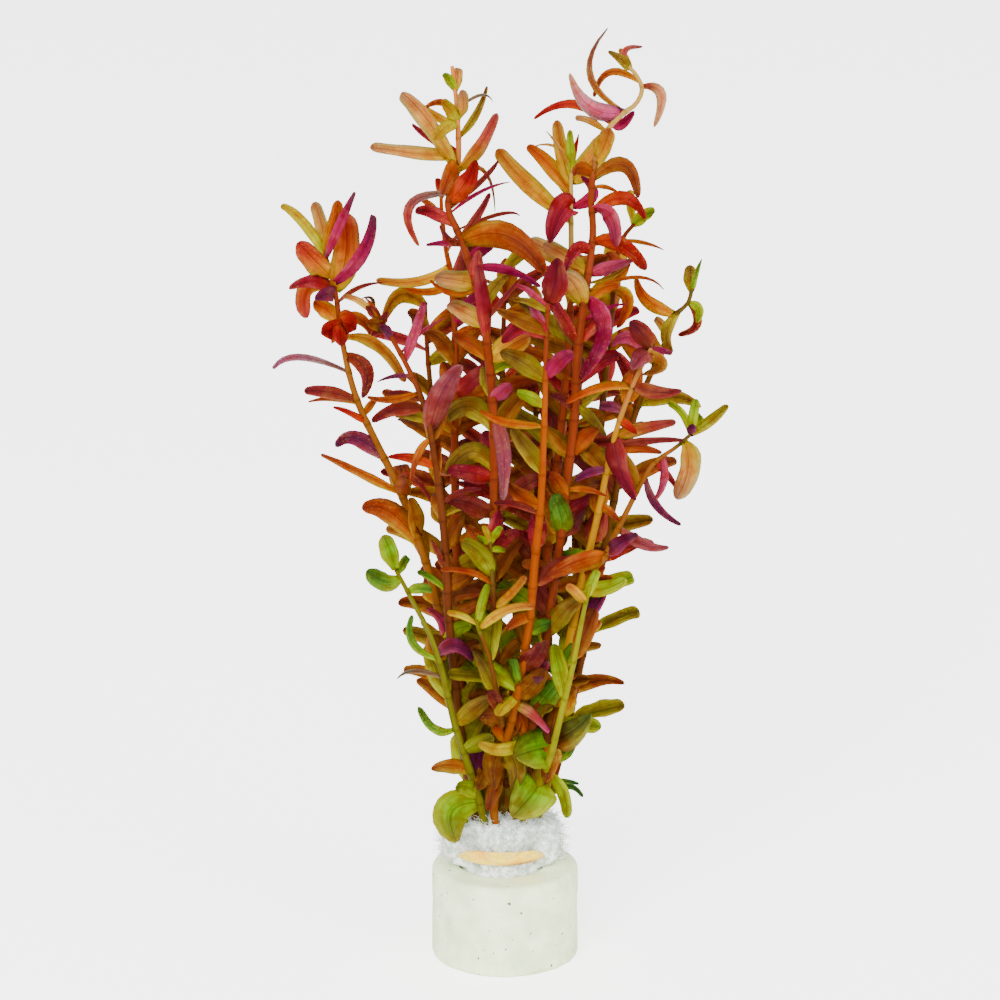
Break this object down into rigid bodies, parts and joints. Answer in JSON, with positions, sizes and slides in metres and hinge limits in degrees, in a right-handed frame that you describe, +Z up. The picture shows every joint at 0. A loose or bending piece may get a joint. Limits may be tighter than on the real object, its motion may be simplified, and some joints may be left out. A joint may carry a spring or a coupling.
{
  "type": "rotala bunch in a ceramic ring",
  "caption": "Bunch of cut rotala, an aquarium stem plant, its cut ends wrapped in white filter wool and stood in a heavy ceramic ring.",
  "frame": {"origin": "bottom centre of the bunch's box, on the surface that the ring stands on; the ring's axis is the Z axis", "axes": "+Z up along the ring's axis and the stems, +Y away from the viewer, +X to the right as seen from the front"},
  "size_m": [0.102, 0.0686, 0.2172],
  "materials": {
    "ring_ceramic": "matt unglazed cast ceramic with fine scratches and pits",
    "white_wool": "loose white synthetic filter wool",
    "tan_slip": "matt pale tan slip, orange at its middle",
    "red_plant": "waxy stems and leaves, orange to crimson and magenta",
    "brown_plant": "waxy stems and leaves, brown to olive, older and partly decayed",
    "green_plant": "waxy stems and leaves, yellow-green to green"
  },
  "bodies": {
    "root": {"ceramic_ring": "ring_ceramic", "filter_wool": "white_wool", "tan_slip": "tan_slip", "stem_tall_left": "red_plant", "stem_peach": "red_plant", "stem_tall_right": "red_plant", "stem_centre": "red_plant", "stem_left": "red_plant", "stem_thin_left": "red_plant", "stem_right": "red_plant", "stem_back_left": "red_plant", "stem_brown": "brown_plant", "stem_back_mid_left": "brown_plant", "stem_back_mid_right": "brown_plant", "stem_back_centre": "brown_plant", "shoot_right": "brown_plant", "stem_yellow": "green_plant", "stem_green_right": "green_plant", "stem_green_left": "green_plant", "stem_back_right": "green_plant", "shoot_mid": "green_plant", "shoot_low": "green_plant"}
  },
  "joints": []
}
